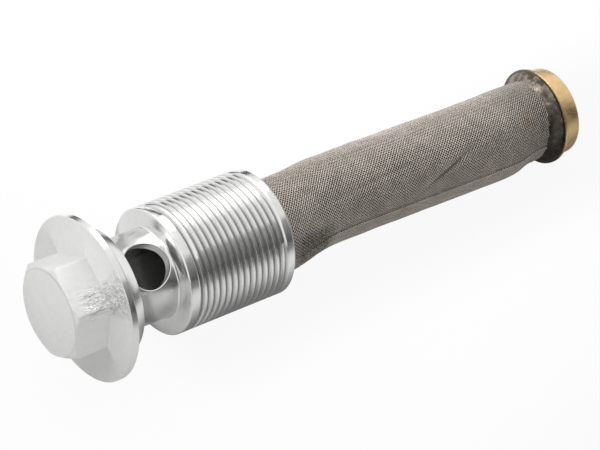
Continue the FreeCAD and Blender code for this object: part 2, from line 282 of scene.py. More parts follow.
def shades(maker, value, colour, *stops):
    """Colour ramp over (place, factor) stops, each the colour times its factor."""
    node = maker.node("ShaderNodeValToRGB", {0: value})
    ramp = node.color_ramp
    while len(ramp.elements) < len(stops):
        ramp.elements.new(0.5)
    for element, (place, factor) in zip(ramp.elements, stops):
        element.position = place
        element.color = (*(min(1.0, factor * c) for c in colour), 1.0)
    return node.outputs[0]


def blend(maker, share, first, second):
    """Mix of two colours."""
    node = maker.tree.nodes.new("ShaderNodeMix")
    node.data_type = "RGBA"
    maker.feed(node.inputs[0], share)
    for socket, value in ((node.inputs[6], first), (node.inputs[7], second)):
        maker.feed(socket, value if isinstance(value, bpy.types.NodeSocket) else (*value, 1.0))
    return node.outputs[2]


def bump(maker, height, distance, strength=1.0, normal=None):
    """Bumped normal from a height in 0 to 1 and its depth in millimetres."""
    inputs = {"Height": height, "Distance": distance * MM, "Strength": strength}
    if normal is not None:
        inputs["Normal"] = normal
    return maker.node("ShaderNodeBump", inputs).outputs[0]


def band(maker, value, start, end, soft):
    """1 between start and end, fading to 0 over a soft margin."""
    rise = maker.ramp(value, start - soft, start + soft)
    fall = maker.ramp(value, end - soft, end + soft)
    return maker.less(rise, fall)


def zinc_plate(colour):
    """Pale zinc plating: turning rings on the round faces, ripples and scratches on the hex, and painted
    shade in the thread's grooves.
    """
    material, maker, shader = new_material("zinc_plate")
    point = part_coordinates(maker)
    x, radius, angle = round_the_axis(maker, point)
    rings = noise(maker, maker.join(x, radius, 0.0), 5.5, 4.0, 0.7)
    hexagon = maker.less(1.0, maker.ramp(x, FLANGE_FRONT_X - 0.15, FLANGE_FRONT_X - 0.05))
    face = maker.less(1.0, maker.ramp(x, HEAD_FRONT_X + 0.02, HEAD_FRONT_X + 0.08))
    side = maker.less(hexagon, face)
    plain_face = maker.product(
        maker.ramp(x, FLANGE_BACK_X + 0.1, FLANGE_BACK_X - 0.1),
        maker.ramp(radius, FLANGE_RADIUS - 0.05, FLANGE_RADIUS - 0.15),
    )
    bruised = maker.product(
        band(maker, angle, *BRUISE_ANGLES), maker.ramp(x, -5.8, -5.95), maker.ramp(x, -13.0, -9.5)
    )
    bruises = noise(maker, stretched(maker, point, (0.3, 1.0, 1.0)), 1.0, 4.0, 0.65)
    ripple = noise(maker, stretched(maker, point, (0.35, 1.0, 1.0)), 0.42, 3.0, 0.6)
    scratch_point = stretched(maker, point, (0.25, 3.0, 1.6), (0.3, 0.6, 0.2))
    scratches = maker.ramp(noise(maker, scratch_point, 2.2, 5.0, 0.75), 0.6, 0.75)
    mottle = noise(maker, point, 0.9, 5.0, 0.65)
    thread = band(maker, x, THREAD_START_X + 1.9, BOLT_END_X - 1.9, 0.3)
    # Painted shade: the thread's grooves get darker and rougher towards the root
    groove_shade = maker.product(thread, maker.ramp(radius, 13.45, 12.7))
    pale = blend(maker, mottle, [0.9 * c for c in colour], [min(1.0, 1.05 * c) for c in colour])
    worn = maker.total(
        maker.product(scratches, 0.25), maker.product(maker.ramp(bruises, 0.52, 0.6), bruised, 0.5)
    )
    marked = blend(maker, worn, pale, [0.55 * c for c in colour])
    # Painted shade in the thread's grooves, blended towards near-black
    groove_shaded = blend(maker, maker.product(groove_shade, 0.6), marked, (0.2, 0.195, 0.185))
    maker.feed(shader.inputs["Base Color"], groove_shaded)
    rough = maker.total(
        0.1,
        maker.product(mottle, 0.16),
        maker.product(scratches, 0.12),
        maker.product(groove_shade, 0.2),
        maker.product(plain_face, 0.36),
        maker.product(bruised, -0.3),
    )
    maker.feed(shader.inputs["Roughness"], rough)
    inside = maker.product(
        maker.ramp(radius, NECK_RADIUS - 0.2, NECK_RADIUS - 0.6), maker.ramp(x, -5.5, -5.0)
    )
    maker.feed(shader.inputs["Metallic"], maker.less(1.0, maker.product(inside, 0.45)))
    turned = maker.less(1.0, hexagon)
    grooves = bump(maker, maker.product(rings, turned), 0.012)
    rippled = bump(maker, maker.product(ripple, side), 0.16, 1.0, grooves)
    bruise_height = maker.product(maker.less(bruises, 0.5), bruised)
    bruised_normal = bump(maker, bruise_height, 1.2, 1.0, rippled)
    y, z = maker.split(point)[1:]
    hole = outward(HOLE_ANGLE)
    off_plane = maker.less(maker.product(y, hole.z), maker.product(z, hole.y))
    from_middle = maker.less(x, NECK_MIDDLE_X)
    from_hole = maker.math(
        "SQRT", maker.total(maker.product(off_plane, off_plane), maker.product(from_middle, from_middle))
    )
    mouth = maker.product(
        maker.ramp(from_hole, HOLE_RADIUS - 0.02, HOLE_RADIUS + 0.22),
        maker.ramp(radius, NECK_RADIUS - 0.2, NECK_RADIUS - 0.1),
    )
    softened = bump(maker, mouth, 0.16, 1.0, bruised_normal)
    maker.feed(shader.inputs["Normal"], bump(maker, scratches, 0.004, 1.0, softened))
    return material


def wire_tin(name, colour, woven):
    """Dull tinned wire, darker and stained in places; the inner turn gets its weave as bumps."""
    material, maker, shader = new_material(name)
    point = part_coordinates(maker)
    x, angle = round_the_axis(maker, point)[::2]
    patches = noise(maker, point, 0.3, 5.0, 0.7)
    specks = noise(maker, point, 2.4, 3.0, 0.7)
    tone = maker.total(maker.product(patches, 0.5), maker.product(specks, 0.5))
    base = shades(maker, tone, colour, (0.3, 0.7), (0.5, 1.0), (0.72, 1.3))
    flux = maker.product(band(maker, x, *FLUX_MARK[0]), band(maker, angle, *FLUX_MARK[1]))
    flux = maker.product(flux, maker.ramp(specks, 0.35, 0.6))
    stain = maker.product(band(maker, x, *STAIN_MARK[0]), band(maker, angle, *STAIN_MARK[1]))
    heated = blend(maker, maker.ramp(x, *HEATED_RUN, 0.0, 0.3), base, (0.16, 0.14, 0.12))
    stained = blend(maker, maker.product(stain, 0.5), heated, (0.42, 0.3, 0.19))
    darkened = blend(maker, maker.product(flux, 0.75), stained, (0.05, 0.045, 0.04))
    maker.feed(shader.inputs["Base Color"], darkened)
    maker.feed(shader.inputs["Roughness"], maker.ramp(specks, 0.3, 0.7, 0.38, 0.6))
    if woven:
        sheet = maker.node("ShaderNodeAttribute", attribute_name="sheet").outputs["Vector"]
        u, v = maker.split(sheet)[:2]
        turns = 2 * math.pi / INNER_WEAVE_PITCH
        first = maker.math("SINE", maker.product(maker.total(u, v), turns))
        second = maker.math("SINE", maker.product(maker.less(u, v), turns))
        maker.feed(shader.inputs["Normal"], bump(maker, maker.product(first, second), 0.08))
    return material


def turned_brass(colour, tin):
    """Dull brass with turning rings and small nicks, tinned grey on the lip's front."""
    material, maker, shader = new_material("turned_brass")
    point = part_coordinates(maker)
    x, radius, angle = round_the_axis(maker, point)
    rings = noise(maker, maker.join(x, radius, maker.product(angle, 0.004)), 6.0, 4.0, 0.7)
    tone = noise(maker, point, 0.5, 4.0, 0.6)
    specks = noise(maker, point, 2.8, 4.0, 0.7)
    ringed = maker.total(maker.product(tone, 0.7), maker.product(rings, 0.3))
    brass = shades(maker, ringed, colour, (0.3, 0.8), (0.55, 1.0), (0.8, 1.15))
    nicks = maker.ramp(specks, 0.68, 0.74)
    nicked = blend(maker, maker.product(nicks, 0.6), brass, (0.16, 0.1, 0.05))
    edge = maker.total(x, maker.product(maker.less(specks, 0.5), 0.7))
    tinned = maker.less(1.0, maker.ramp(edge, CAP_LIP_X + 0.05, CAP_LIP_X + 0.3))
    maker.feed(shader.inputs["Base Color"], blend(maker, tinned, nicked, tin))
    maker.feed(shader.inputs["Roughness"], maker.ramp(tone, 0.3, 0.7, 0.24, 0.42))
    scored = bump(maker, rings, 0.01)
    maker.feed(shader.inputs["Normal"], bump(maker, specks, 0.03, 0.6, scored))
    return material


def soft_solder(colour):
    """Dull solder, dark with flux and with paler smears, and painted light that makes it paler towards the
    top.
    """
    material, maker, shader = new_material("soft_solder")
    point = part_coordinates(maker)
    angle = round_the_axis(maker, point)[2]
    smears = noise(maker, point, 0.5, 4.0, 0.6)
    specks = noise(maker, point, 2.2, 4.0, 0.7)
    top = maker.math("COSINE", maker.math("RADIANS", maker.less(angle, SOLDER_TOP_ANGLE)))
    smears = maker.total(maker.product(smears, 0.7), maker.product(specks, 0.3))
    # Painted light: paler towards the top, where the overhead light falls
    pale = maker.total(smears, maker.product(maker.ramp(top, 0.2, 1.0), 0.14))
    base = shades(maker, pale, colour, (0.4, 0.45), (0.58, 1.0), (0.7, 3.0))
    maker.feed(shader.inputs["Base Color"], base)
    maker.feed(shader.inputs["Roughness"], maker.ramp(specks, 0.3, 0.7, 0.28, 0.5))
    lumps = bump(maker, smears, 0.25)
    maker.feed(shader.inputs["Normal"], bump(maker, specks, 0.06, 0.8, lumps))
    return material


def link(name, mesh):
    """New object in the scene for a mesh."""
    piece = bpy.data.objects.new(name, mesh)
    bpy.context.scene.collection.objects.link(piece)
    return piece


def evaluated_mesh(piece):
    """Plain mesh of an object with its modifiers applied."""
    bpy.context.view_layer.update()
    ready = piece.evaluated_get(bpy.context.evaluated_depsgraph_get())
    return bpy.data.meshes.new_from_object(ready)


def finish_piece(piece, material, slot, *nodes):
    """Give a piece its finish and its body, and hide the CAD nodes that it stands for."""
    piece.data.materials.clear()
    piece.data.materials.append(material)
    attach(piece, "root")
    for node in nodes:
        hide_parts(node)


def shade(mesh, sharp_angle):
    """Smooth shading, with edges kept sharp past an angle in degrees."""
    mesh.shade_smooth()
    mesh.set_sharp_from_angle(angle=math.radians(sharp_angle))


def made_by_tree(name, tree, values):
    """Mesh that a Geometry Nodes tree makes from its named inputs."""
    piece = link(name, bpy.data.meshes.new(name))
    modifier = piece.modifiers.new("tree", "NODES")
    modifier.node_group = tree
    for item in tree.interface.items_tree:
        if item.item_type == "SOCKET" and item.in_out == "INPUT" and item.name in values:
            modifier[item.identifier] = values[item.name]
    mesh = evaluated_mesh(piece)
    bpy.data.objects.remove(piece)
    mesh.name = name
    return mesh


def new_tree(name, inputs):
    """Geometry Nodes tree with named inputs; gives the tree, its maker and the inputs by name."""
    tree = bpy.data.node_groups.new(name, "GeometryNodeTree")
    for label, kind, value in inputs:
        socket = tree.interface.new_socket(label, in_out="INPUT", socket_type=kind)
        if kind != "NodeSocketMaterial":
            socket.default_value = value
    tree.interface.new_socket("Geometry", in_out="OUTPUT", socket_type="NodeSocketGeometry")
    maker = TreeMaker(tree)
    given = maker.node("NodeGroupInput")
    return tree, maker, {label: given.outputs[label] for label, kind, value in inputs}


def end_tree(maker, geometry, material):
    """Close a tree with Transform, Realize Instances, Set Material and its output."""
    placed = maker.node(
        "GeometryNodeTransform",
        {
            "Geometry": geometry,
            "Translation": PLACEMENT.to_translation(),
            "Rotation": (0.0, TILT, 0.0),
            "Scale": (MM, MM, MM),
        },
    )
    real = maker.node("GeometryNodeRealizeInstances", {0: placed.outputs[0]})
    painted = maker.node("GeometryNodeSetMaterial", {"Geometry": real.outputs[0], "Material": material})
    maker.node("NodeGroupOutput", {0: painted.outputs[0]})


def thread_tree():
    """Helical V grooves between two plain rings, as one skin whose first and last columns meet."""
    tree, maker, given = new_tree(
        "screw_thread",
        (
            ("Material", "NodeSocketMaterial", None),
            ("Diameter", "NodeSocketFloat", 27.0),
            ("Pitch", "NodeSocketFloat", 1.5),
            ("Depth", "NodeSocketFloat", 0.7),
            ("Crest", "NodeSocketFloat", 0.5),
            ("Root", "NodeSocketFloat", 0.2),
            ("Turns", "NodeSocketInt", 15),
            ("Columns", "NodeSocketInt", 144),
            ("Skin Start", "NodeSocketFloat", 11.4),
            ("Thread Start", "NodeSocketFloat", 13.0),
            ("Skin End", "NodeSocketFloat", 36.75),
            ("Run-out", "NodeSocketFloat", 0.7),
        ),
    )
    knots = maker.total(maker.product(given["Turns"], 4.0), 7.0)
    grid = maker.node(
        "GeometryNodeMeshGrid",
        {"Size X": 1.0, "Size Y": 1.0, "Vertices X": knots, "Vertices Y": given["Columns"]},
    )
    across, along = maker.split(maker.node("GeometryNodeInputPosition").outputs[0])[:2]
    last_knot = maker.less(knots, 1.0)
    knot = maker.math("ROUND", maker.product(maker.total(across, 0.5), last_knot))
    share = maker.total(along, 0.5)
    step = maker.less(knot, 1.0)
    turn = maker.math("FLOOR", maker.math("DIVIDE", step, 4.0))
    corner = maker.less(step, maker.product(turn, 4.0))
    flank = maker.product(
        maker.less(given["Pitch"], maker.total(given["Crest"], given["Root"])), 0.5
    )
    past_first = maker.math("GREATER_THAN", corner, 0.5)
    past_second = maker.math("GREATER_THAN", corner, 1.5)
    past_third = maker.math("GREATER_THAN", corner, 2.5)
    offset = maker.total(
        maker.product(past_first, flank),
        maker.product(past_second, given["Root"]),
        maker.product(past_third, flank),
    )
    low = maker.less(past_first, past_third)
    thread_end = maker.total(given["Thread Start"], maker.product(given["Turns"], given["Pitch"]))
    turned = maker.product(maker.total(turn, share, -1.0), given["Pitch"])
    free = maker.total(given["Thread Start"], turned, offset)
    kept = maker.math("MINIMUM", maker.math("MAXIMUM", free, given["Thread Start"]), thread_end)
    is_first = maker.math("LESS_THAN", knot, 0.5)
    is_last = maker.math("GREATER_THAN", knot, maker.less(last_knot, 0.5))
    middle = maker.less(1.0, maker.total(is_first, is_last))
    x = maker.total(
        maker.product(kept, middle),
        maker.product(given["Skin Start"], is_first),
        maker.product(given["Skin End"], is_last),
    )
    from_ends = maker.math(
        "MINIMUM", maker.less(x, given["Thread Start"]), maker.less(thread_end, x)
    )
    fade = maker.ramp(from_ends, 0.0, given["Run-out"])
    depth = maker.product(given["Depth"], low, fade, middle)
    radius = maker.less(maker.product(given["Diameter"], 0.5), depth)
    angle = maker.product(share, 2 * math.pi)
    y = maker.product(maker.math("SINE", angle), radius, -1.0)
    z = maker.product(maker.math("COSINE", angle), radius)
    bent = maker.node(
        "GeometryNodeSetPosition", {"Geometry": grid.outputs[0], "Position": maker.join(x, y, z)}
    )
    merged = maker.node("GeometryNodeMergeByDistance", {"Geometry": bent.outputs[0], "Distance": 0.0005})
    end_tree(maker, merged.outputs[0], given["Material"])
    return tree


def tube_point(maker, x, angle, height):
    """Place on the gauze tube for a distance along it, an angle in radians and a height over its outside."""
    radius = maker.total(
        ROOT_RADIUS,
        maker.ramp(x, ROOT_NECKING[0], sum(ROOT_NECKING), 0.0, TUBE_RADIUS - ROOT_RADIUS),
        maker.ramp(x, TIP_NECKING[0], sum(TIP_NECKING), 0.0, TIP_RADIUS - TUBE_RADIUS),
        height,
    )
    root = outward(BENDS[0][0]) * ROOT_SET
    y = maker.total(maker.product(maker.math("SINE", angle), radius, -1.0), root.y)
    z = maker.total(maker.product(maker.math("COSINE", angle), radius), root.z)
    for bend_angle, rise, start, length in BENDS:
        y = maker.total(y, maker.ramp(x, start, start + length, 0.0, rise * outward(bend_angle).y))
        z = maker.total(z, maker.ramp(x, start, start + length, 0.0, rise * outward(bend_angle).z))
    return maker.join(x, y, z)


def crease_depth(maker, x, angle, start, end, depth, width):
    """Depth of a crease between two (distance, degrees) ends in the wall; the angle is in radians."""
    share = maker.ramp(x, start[0], end[0], 0.0, 1.0, "LINEAR")
    line = maker.ramp(x, start[0], end[0], start[1], end[1], "LINEAR")
    aside = maker.product(
        maker.less(angle, maker.math("RADIANS", line)), maker.math("DIVIDE", TUBE_RADIUS, width)
    )
    falloff = maker.math("EXPONENT", maker.product(aside, aside, -1.0))
    return maker.product(depth, maker.math("SINE", maker.product(share, math.pi)), falloff)


def cut_end(maker, angle):
    """Where the gauze's slanting cut end lies at an angle in radians."""
    lean = maker.math("COSINE", maker.less(angle, math.radians(END_SKEW_ANGLE)))
    return maker.total(TUBE_END_X, maker.product(lean, END_SKEW))


def dents(maker, x, angle, depth):
    """Slow unevenness of the hand-rolled wall."""
    around = maker.product(angle, 1.3)
    field = noise(maker, maker.join(maker.product(x, 0.16), around, 0.0), 1.0, 2.0, 0.5)
    return maker.product(maker.less(field, 0.5), depth)


def weave_tree():
    """One of the two crossing sets of wires of the rolled sheet, on the bias, lapped along the seam."""
    tree, maker, given = new_tree(
        "woven_wires",
        (
            ("Material", "NodeSocketMaterial", None),
            ("Wire Diameter", "NodeSocketFloat", 0.2),
            ("Wire Pitch", "NodeSocketFloat", 0.5),
            ("Second Set", "NodeSocketFloat", 0.0),
            ("Sheet Start", "NodeSocketFloat", 36.5),
            ("Lap Raise", "NodeSocketFloat", 0.55),
            ("Crease Depth", "NodeSocketFloat", 0.36),
            ("Crease Width", "NodeSocketFloat", 0.6),
            ("Long Crease Depth", "NodeSocketFloat", 0.2),
            ("Dent Depth", "NodeSocketFloat", 0.3),
        ),
    )
    lap = SEAM_END_ANGLE - SEAM_START_ANGLE
    width = math.radians(360.0 + lap) * TUBE_RADIUS
    length = maker.less(TUBE_END_X + END_SKEW, given["Sheet Start"])
    diagonal = math.sqrt(2.0)
    reach = maker.math("DIVIDE", maker.total(length, width), diagonal)
    count = maker.math("CEIL", maker.math("DIVIDE", reach, given["Wire Pitch"]))
    line = maker.node("GeometryNodeMeshLine", {"Count": maker.product(count, count)}, mode="OFFSET")
    index = maker.node("GeometryNodeInputIndex").outputs[0]
    wire = maker.math("FLOOR", maker.math("DIVIDE", maker.total(index, 0.5), count))
    place = maker.less(index, maker.product(wire, count))
    low = -width / diagonal
    is_second = given["Second Set"]
    is_first = maker.less(1.0, is_second)
    steps_a = maker.total(maker.product(place, is_first), maker.product(wire, is_second))
    steps_b = maker.total(maker.product(wire, is_first), maker.product(place, is_second))
    a = maker.product(steps_a, given["Wire Pitch"])
    b = maker.total(maker.product(steps_b, given["Wire Pitch"]), low)
    u = maker.math("DIVIDE", maker.less(a, b), diagonal)
    v = maker.math("DIVIDE", maker.total(a, b), diagonal)
    odd = maker.math("PINGPONG", maker.total(steps_a, steps_b), 1.0)
    over = maker.less(maker.product(odd, 2.0), 1.0)
    side = maker.less(maker.product(is_first, 2.0), 1.0)
    lift = maker.product(over, side, given["Wire Diameter"], 0.28)
    whole_edges = maker.node(
        "GeometryNodeDeleteGeometry",
        {
            "Geometry": line.outputs[0],
            "Selection": maker.math("GREATER_THAN", place, maker.less(count, 1.5)),
        },
        domain="EDGE",
        mode="EDGE_FACE",
    )
    stored = maker.node(
        "GeometryNodeStoreNamedAttribute",
        {"Geometry": whole_edges.outputs[0], "Name": "sheet", "Value": maker.join(u, v, lift)},
        data_type="FLOAT_VECTOR",
        domain="POINT",
    )
    sheet = maker.node("GeometryNodeInputNamedAttribute", {"Name": "sheet"}, data_type="FLOAT_VECTOR")
    u, v, lift = maker.split(sheet.outputs[0])
    angle = maker.less(math.radians(SEAM_END_ANGLE), maker.math("DIVIDE", u, TUBE_RADIUS))
    x = maker.total(given["Sheet Start"], v)
    inside = maker.product(
        maker.math("GREATER_THAN", u, 0.0),
        maker.math("LESS_THAN", u, width),
        maker.math("GREATER_THAN", v, 0.0),
        maker.math("LESS_THAN", x, cut_end(maker, angle)),
    )
    trimmed = maker.node(
        "GeometryNodeDeleteGeometry",
        {"Geometry": stored.outputs[0], "Selection": maker.math("LESS_THAN", inside, 0.5)},
        domain="POINT",
        mode="ALL",
    )
    lapped = maker.ramp(u, 2 * math.pi * TUBE_RADIUS - 0.7, 2 * math.pi * TUBE_RADIUS)
    along = maker.math(
        "SUBTRACT",
        maker.ramp(x, BOLT_END_X + 4.0, BOLT_END_X + 12.0),
        maker.ramp(x, TUBE_END_X - 8.5, TUBE_END_X - 3.5),
    )
    raised = maker.product(along, maker.less(given["Lap Raise"], LAP_AT_ENDS))
    lap_height = maker.product(lapped, maker.total(raised, LAP_AT_ENDS))
    crease = crease_depth(
        maker, x, angle, CREASE_START, CREASE_END, given["Crease Depth"], given["Crease Width"]
    )
    long_crease = crease_depth(
        maker, x, angle, LONG_CREASE_START, LONG_CREASE_END, given["Long Crease Depth"], LONG_CREASE_WIDTH
    )
    height = maker.total(
        lift,
        maker.product(given["Wire Diameter"], -1.0),
        lap_height,
        maker.product(crease, -1.0),
        maker.product(long_crease, -1.0),
        dents(maker, x, angle, given["Dent Depth"]),
    )
    bent = maker.node(
        "GeometryNodeSetPosition",
        {"Geometry": trimmed.outputs[0], "Position": tube_point(maker, x, angle, height)},
    )
    paths = maker.node("GeometryNodeMeshToCurve", {0: bent.outputs[0]})
    section = maker.node(
        "GeometryNodeCurvePrimitiveCircle",
        {"Resolution": 4, "Radius": maker.product(given["Wire Diameter"], 0.5)},
    )
    wires = maker.node(
        "GeometryNodeCurveToMesh",
        {"Curve": paths.outputs[0], "Profile Curve": section.outputs[0], "Fill Caps": True},
    )
    end_tree(maker, wires.outputs[0], given["Material"])
    return tree


def inner_turn_tree():
    """Inner turn of the rolled sheet, under the outer wires."""
    tree, maker, given = new_tree(
        "inner_turn",
        (
            ("Material", "NodeSocketMaterial", None),
            ("Depth", "NodeSocketFloat", 0.5),
            ("Sheet Start", "NodeSocketFloat", 30.0),
            ("Rows", "NodeSocketInt", 120),
            ("Columns", "NodeSocketInt", 97),
            ("Dent Depth", "NodeSocketFloat", 0.3),
        ),
    )
    grid = maker.node(
        "GeometryNodeMeshGrid",
        {"Size X": 1.0, "Size Y": 1.0, "Vertices X": given["Rows"], "Vertices Y": given["Columns"]},
    )
    across, along = maker.split(maker.node("GeometryNodeInputPosition").outputs[0])[:2]
    angle = maker.product(maker.total(along, 0.5), 2 * math.pi)
    end = maker.less(cut_end(maker, angle), 0.25)
    run = maker.product(maker.total(across, 0.5), maker.less(end, given["Sheet Start"]))
    x = maker.total(given["Sheet Start"], run)
    u = maker.product(angle, TUBE_RADIUS)
    stored = maker.node(
        "GeometryNodeStoreNamedAttribute",
        {"Geometry": grid.outputs[0], "Name": "sheet", "Value": maker.join(u, x, 0.0)},
        data_type="FLOAT_VECTOR",
        domain="POINT",
    )
    height = maker.less(dents(maker, x, angle, given["Dent Depth"]), given["Depth"])
    bent = maker.node(
        "GeometryNodeSetPosition",
        {"Geometry": stored.outputs[0], "Position": tube_point(maker, x, angle, height)},
    )
    merged = maker.node("GeometryNodeMergeByDistance", {"Geometry": bent.outputs[0], "Distance": 0.0005})
    end_tree(maker, merged.outputs[0], given["Material"])
    return tree


def turned_mesh(name, profile, columns, shape=None):
    """Closed ring of revolution from (x, radius) points in millimetres, which shape may move by angle."""
    work = bmesh.new()
    rings = []
    for number, (x, radius) in enumerate(profile):
        ring = []
        for column in range(columns):
            angle = 2 * math.pi * column / columns
            place, reach = (x, radius) if shape is None else shape(number, x, radius, angle)
            ring.append(work.verts.new((place, -math.sin(angle) * reach, math.cos(angle) * reach)))
        rings.append(ring)
    for ring, after in zip(rings, rings[1:] + rings[:1]):
        for column in range(columns):
            far = (column + 1) % columns
            work.faces.new((ring[column], ring[far], after[far], after[column]))
    bmesh.ops.remove_doubles(work, verts=work.verts, dist=0.0002)
    bmesh.ops.recalc_face_normals(work, faces=work.faces)
    mesh = bpy.data.meshes.new(name)
    work.to_mesh(mesh)
    work.free()
    return mesh


def cap_offset():
    """How far the cap's middle lies off the bolt's axis."""
    return outward(BENDS[0][0]) * ROOT_SET + sum((outward(bend[0]) * bend[1] for bend in BENDS), Vector())


def rounded(before, corner, after, radius, steps=4):
    """Points of an arc that rounds a corner of a profile."""
    first, last = Vector(before) - Vector(corner), Vector(after) - Vector(corner)
    first.normalize()
    last.normalize()
    half = first.angle(last) / 2
    cut = radius / math.tan(half)
    middle = Vector(corner) + (first + last).normalized() * (radius / math.sin(half))
    start = Vector(corner) + first * cut - middle
    end = Vector(corner) + last * cut - middle
    turn = start.angle_signed(end)
    return [tuple(middle + Matrix.Rotation(-turn * step / steps, 2) @ start) for step in range(steps + 1)]


class OILFILTER_PG_thread(bpy.types.PropertyGroup):
    """Sizes of the bolt's screw thread."""

    diameter: bpy.props.FloatProperty(
        name="Thread diameter", description="Over the crests", default=0.027, unit="LENGTH", precision=4
    )
    pitch: bpy.props.FloatProperty(
        name="Pitch", description="From crest to crest", default=0.0015, unit="LENGTH", precision=4
    )
    depth: bpy.props.FloatProperty(
        name="Depth", description="From crest to root", default=0.0007, unit="LENGTH", precision=4
    )
    turns: bpy.props.IntProperty(name="Turns", description="Number of full turns", default=15, min=1, max=40)
    colour: bpy.props.FloatVectorProperty(
        name="Plating", description="Colour of the zinc plating", default=(0.84, 0.84, 0.83), subtype="COLOR"
    )


class OILFILTER_PG_gauze(bpy.types.PropertyGroup):
    """Sizes of the woven wire gauze."""

    wire: bpy.props.FloatProperty(
        name="Wire", description="Diameter of one wire", default=0.00021, unit="LENGTH", precision=5
    )
    pitch: bpy.props.FloatProperty(
        name="Mesh", description="From wire to wire", default=0.0005, unit="LENGTH", precision=5
    )
    lap: bpy.props.FloatProperty(
        name="Lap",
        description="How far the lapped seam stands up",
        default=0.00055,
        unit="LENGTH",
        precision=5,
    )
    dent: bpy.props.FloatProperty(
        name="Unevenness",
        description="How far the hand-rolled wall wanders",
        default=0.0003,
        unit="LENGTH",
        precision=5,
    )
    colour: bpy.props.FloatVectorProperty(
        name="Wire colour",
        description="Colour of the tinned wire",
        default=(0.6, 0.55, 0.495),
        subtype="COLOR",
    )


class OILFILTER_PG_cap(bpy.types.PropertyGroup):
    """Finish of the cap and its solder."""

    edge_round: bpy.props.FloatProperty(
        name="Edge rounding",
        description="Rounding of the band's outer edge",
        default=0.0004,
        unit="LENGTH",
        precision=4,
    )
    brass: bpy.props.FloatVectorProperty(
        name="Brass", description="Colour of the brass", default=(0.8, 0.575, 0.285), subtype="COLOR"
    )
    solder: bpy.props.FloatVectorProperty(
        name="Solder", description="Colour of the solder", default=(0.115, 0.1, 0.082), subtype="COLOR"
    )
    lumps: bpy.props.FloatProperty(
        name="Solder lumps",
        description="Height of the solder's lumps",
        default=0.00025,
        unit="LENGTH",
        precision=5,
    )


class OILFILTER_PG_stage(bpy.types.PropertyGroup):
    """Light round the part."""

    floor: bpy.props.FloatProperty(
        name="Floor white", description="Lightness of the floor", default=0.97, min=0, max=1
    )
    surround: bpy.props.FloatProperty(
        name="Surround", description="Light from the white surround", default=0.98, min=0, max=3
    )
    key: bpy.props.FloatProperty(
        name="Key light", description="Power of the soft overhead light", default=4.0, min=0, unit="POWER"
    )


class OILFILTER_OT_bolt(bpy.types.Operator):
    """Cut the helical thread on the bolt's body and give it its zinc plating"""

    bl_idname = "oil_filter.bolt"
    bl_label = "Threaded bolt"

    def execute(self, context):
        sizes = context.scene.oil_filter_thread
        material = zinc_plate(sizes.colour)
        values = {
            "Material": material,
            "Diameter": sizes.diameter / MM,
            "Pitch": sizes.pitch / MM,
            "Depth": sizes.depth / MM,
            "Turns": sizes.turns,
        }
        thread = made_by_tree("thread", thread_tree(), values)
        work = bmesh.new()
        work.from_mesh(frame["nodes"]["bolt"].data)
        bmesh.ops.remove_doubles(work, verts=work.verts, dist=1e-6)
        back = PLACEMENT.inverted()
        plain = []
        for face in work.faces:
            corners = [back @ vertex.co for vertex in face.verts]
            least = sizes.diameter / MM / 2 - 0.05
            on_body = all(math.hypot(corner.y, corner.z) > least for corner in corners)
            if on_body and all(THREAD_START_X < corner.x < BOLT_END_X for corner in corners):
                plain.append(face)
        bmesh.ops.delete(work, geom=plain, context="FACES")
        work.from_mesh(thread)
        bpy.data.meshes.remove(thread)
        middle_x = (THREAD_START_X + BOLT_END_X) / 2
        for at_neck in (True, False):
            rims = [
                edge
                for edge in work.edges
                if edge.is_boundary and all(((back @ v.co).x < middle_x) == at_neck for v in edge.verts)
            ]
            bmesh.ops.bridge_loops(work, edges=rims)
        bmesh.ops.recalc_face_normals(work, faces=work.faces)
        mesh = bpy.data.meshes.new("threaded_bolt")
        work.to_mesh(mesh)
        work.free()
        shade(mesh, 28)
        finish_piece(link("threaded_bolt", mesh), material, "bolt", "bolt")
        return {"FINISHED"}


class OILFILTER_OT_gauze(bpy.types.Operator):
    """Weave both sets of wires of the gauze tube, with its inner turn below them"""

    bl_idname = "oil_filter.gauze"
    bl_label = "Woven gauze tube"

    def execute(self, context):
        sizes = context.scene.oil_filter_gauze
        wire = wire_tin("tinned_wire", sizes.colour, False)
        tree = weave_tree()
        for name, second in (("gauze_wires_left", 0.0), ("gauze_wires_right", 1.0)):
            values = {
                "Material": wire,
                "Wire Diameter": sizes.wire / MM,
                "Wire Pitch": sizes.pitch / MM,
                "Second Set": second,
                "Lap Raise": sizes.lap / MM,
                "Dent Depth": sizes.dent / MM,
            }
            mesh = made_by_tree(name, tree, values)
            mesh.shade_smooth()
            finish_piece(link(name, mesh), wire, "gauze_tube", "gauze_tube")
        # Painted shade: the inner turn under the outer wires is the same tinned wire at 0.3 times its colour
        inner = wire_tin("inner_wire_painted_shade", [0.3 * c for c in sizes.colour], True)
        values = {"Material": inner, "Dent Depth": sizes.dent / MM}
        mesh = made_by_tree("gauze_inner_turn", inner_turn_tree(), values)
        piece = link("gauze_inner_turn", mesh)
        solidify = piece.modifiers.new("wall", "SOLIDIFY")
        solidify.thickness = 0.12 * MM
        solidify.offset = -1.0
        thick = evaluated_mesh(piece)
        piece.modifiers.clear()
        piece.data = thick
        shade(thick, 40)
        finish_piece(piece, inner, "gauze_tube", "gauze_tube")
        return {"FINISHED"}


